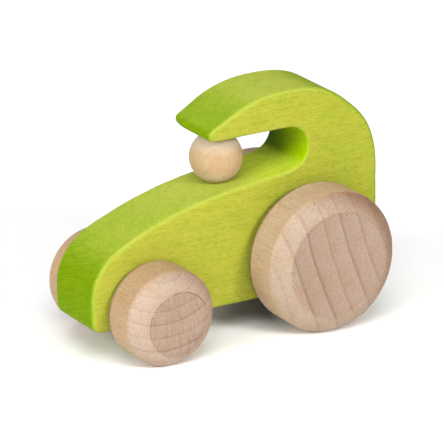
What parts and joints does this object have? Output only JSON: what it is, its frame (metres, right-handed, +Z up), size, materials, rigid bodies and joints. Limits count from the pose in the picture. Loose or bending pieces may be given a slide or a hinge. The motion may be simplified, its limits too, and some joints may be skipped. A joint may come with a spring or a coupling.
{
  "type": "pull-back toy car",
  "caption": "Palm-size wooden pull-back car: stained plank body with an open cockpit slot, ball-headed driver, turned bevelled wheels and a spring motor in the belly.",
  "frame": {"origin": "on the ground, under the middle of the car's bounding box, with all four wheels standing on z = 0", "axes": "+X towards the nose, +Y towards the car's left side, +Z up"},
  "size_m": [0.1245, 0.0698, 0.0912],
  "materials": {
    "stained_wood": "lime-green water stain on pale hardwood, grain showing, matt",
    "natural_wood": "bare sanded hardwood, matt",
    "steel": "ground steel",
    "case_plastic": "moulded, satin",
    "zinc_steel": "zinc-plated steel",
    "gear_plastic": "moulded, satin",
    "spring_steel": "blued spring steel"
  },
  "bodies": {
    "body": {"car_body": "stained_wood", "driver_head": "natural_wood", "head_dowel": "natural_wood", "motor_case_left": "case_plastic", "motor_case_right": "case_plastic", "case_screws": "zinc_steel", "motor_screws": "zinc_steel", "step_up_shaft": "steel", "spring_shaft": "steel", "winding_gear_pin": "steel"},
    "front_wheelset": {"front_axle": "natural_wood", "front_wheel_left": "natural_wood", "front_wheel_right": "natural_wood"},
    "rear_wheelset": {"rear_axle": "steel", "rear_wheel_left": "natural_wood", "rear_wheel_right": "natural_wood", "axle_gear": "gear_plastic"},
    "step_up_rotor": {"step_up_gear": "gear_plastic"},
    "spring_rotor": {"spring_gear": "gear_plastic", "mainspring": "spring_steel"},
    "winding_rotor": {"winding_gear": "gear_plastic"}
  },
  "joints": [
    {"name": "front_axle_spin", "type": "hinge", "parent": "body", "child": "front_wheelset", "pos_m": [0.0376, 0, 0.0184], "axis": [0, 1, 0], "continuous": true},
    {"name": "rear_axle_spin", "type": "hinge", "parent": "body", "child": "rear_wheelset", "pos_m": [-0.0312, 0, 0.0274], "axis": [0, 1, 0], "continuous": true},
    {"name": "step_up_gear_spin", "type": "hinge", "parent": "body", "child": "step_up_rotor", "pos_m": [-0.02305, 0, 0.03121], "axis": [0, 1, 0], "continuous": true},
    {"name": "spring_gear_spin", "type": "hinge", "parent": "body", "child": "spring_rotor", "pos_m": [-0.0148, 0, 0.0232], "axis": [0, 1, 0], "continuous": true},
    {"name": "winding_gear_spin", "type": "hinge", "parent": "body", "child": "winding_rotor", "pos_m": [-0.0283, 0, 0.02158], "axis": [0, 1, 0], "continuous": true}
  ],
  "couplings": [
    {"joint": "step_up_gear_spin", "follows": "rear_axle_spin", "ratio": -0.5},
    {"joint": "spring_gear_spin", "follows": "rear_axle_spin", "ratio": 0.13889},
    {"joint": "winding_gear_spin", "follows": "rear_axle_spin", "ratio": -0.85714}
  ]
}
